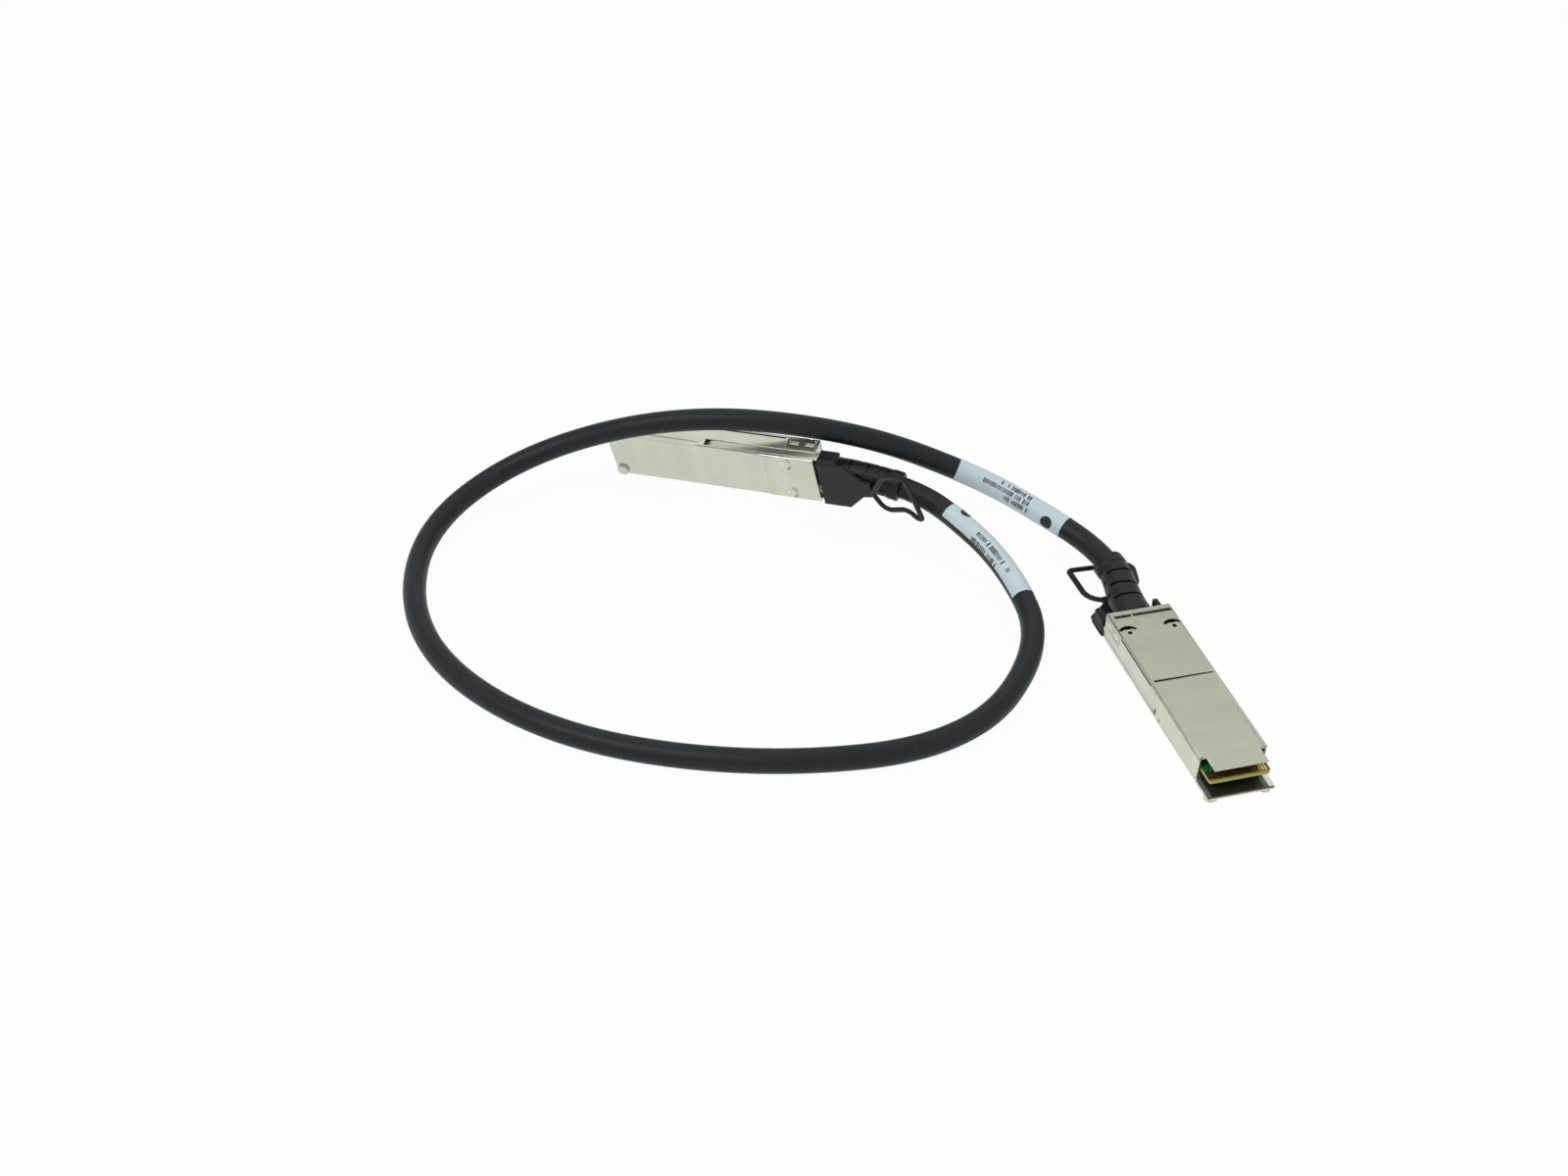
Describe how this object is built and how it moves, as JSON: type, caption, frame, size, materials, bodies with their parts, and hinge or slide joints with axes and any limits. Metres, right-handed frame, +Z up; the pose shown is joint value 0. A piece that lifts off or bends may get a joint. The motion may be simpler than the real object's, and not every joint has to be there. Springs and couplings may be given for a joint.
{
  "type": "pluggable copper network cable",
  "caption": "Short passive copper cable with a flat metal pluggable connector, slotted boot and spring-loaded pull-tab latch on each end.",
  "frame": {"origin": "middle of the box round the two plugs, on the surface that the cable lies on", "axes": "+Z up; the plugs' box is longest along X; +Y runs from the flat plug's mating end to the other plug"},
  "size_m": [0.2301, 0.1532, 0.0402],
  "materials": {
    "plated_shell": "satin nickel plating",
    "plated_cover": "satin nickel plating",
    "circuit_card": "solder mask",
    "contact_gold": "gold plating",
    "chip_body": "moulded",
    "passive_ceramic": "ceramic",
    "pair_foil": "foil",
    "ferrule_metal": "plain",
    "boot_polymer": "fine moulded grain",
    "latch_steel": "stamped",
    "spring_steel": "drawn wire",
    "tab_polymer": "fine moulded grain",
    "cable_jacket": "matte extruded jacket",
    "label_film": "wrapped film"
  },
  "bodies": {
    "cable_body": {"near_lower_shell": "plated_shell", "near_top_cover": "plated_cover", "near_paddle_card": "circuit_card", "near_card_contacts": "contact_gold", "near_memory_chip": "chip_body", "near_card_passives": "passive_ceramic", "near_wire_pairs": "pair_foil", "near_crimp_ferrule": "ferrule_metal", "near_strain_relief": "boot_polymer", "near_return_springs": "spring_steel", "far_lower_shell": "plated_shell", "far_top_cover": "plated_cover", "far_paddle_card": "circuit_card", "far_card_contacts": "contact_gold", "far_memory_chip": "chip_body", "far_card_passives": "passive_ceramic", "far_wire_pairs": "pair_foil", "far_crimp_ferrule": "ferrule_metal", "far_strain_relief": "boot_polymer", "far_return_springs": "spring_steel", "cable": "cable_jacket", "near_label": "label_film", "far_label": "label_film"},
    "near_latch": {"near_latch_arms": "latch_steel", "near_pull_tab": "tab_polymer"},
    "far_latch": {"far_latch_arms": "latch_steel", "far_pull_tab": "tab_polymer"}
  },
  "joints": [
    {"name": "near_latch_slide", "type": "slide", "parent": "cable_body", "child": "near_latch", "axis": [-0.248, 0.9688, 0], "range_m": [0, 0.0022], "stiffness_N_per_m": 1000, "springref_m": -0.001, "deforming": ["near_return_springs"]},
    {"name": "far_latch_slide", "type": "slide", "parent": "cable_body", "child": "far_latch", "axis": [0.9359, -0.3448, 0.0724], "range_m": [0, 0.0022], "stiffness_N_per_m": 1000, "springref_m": -0.001, "deforming": ["far_return_springs"]}
  ]
}
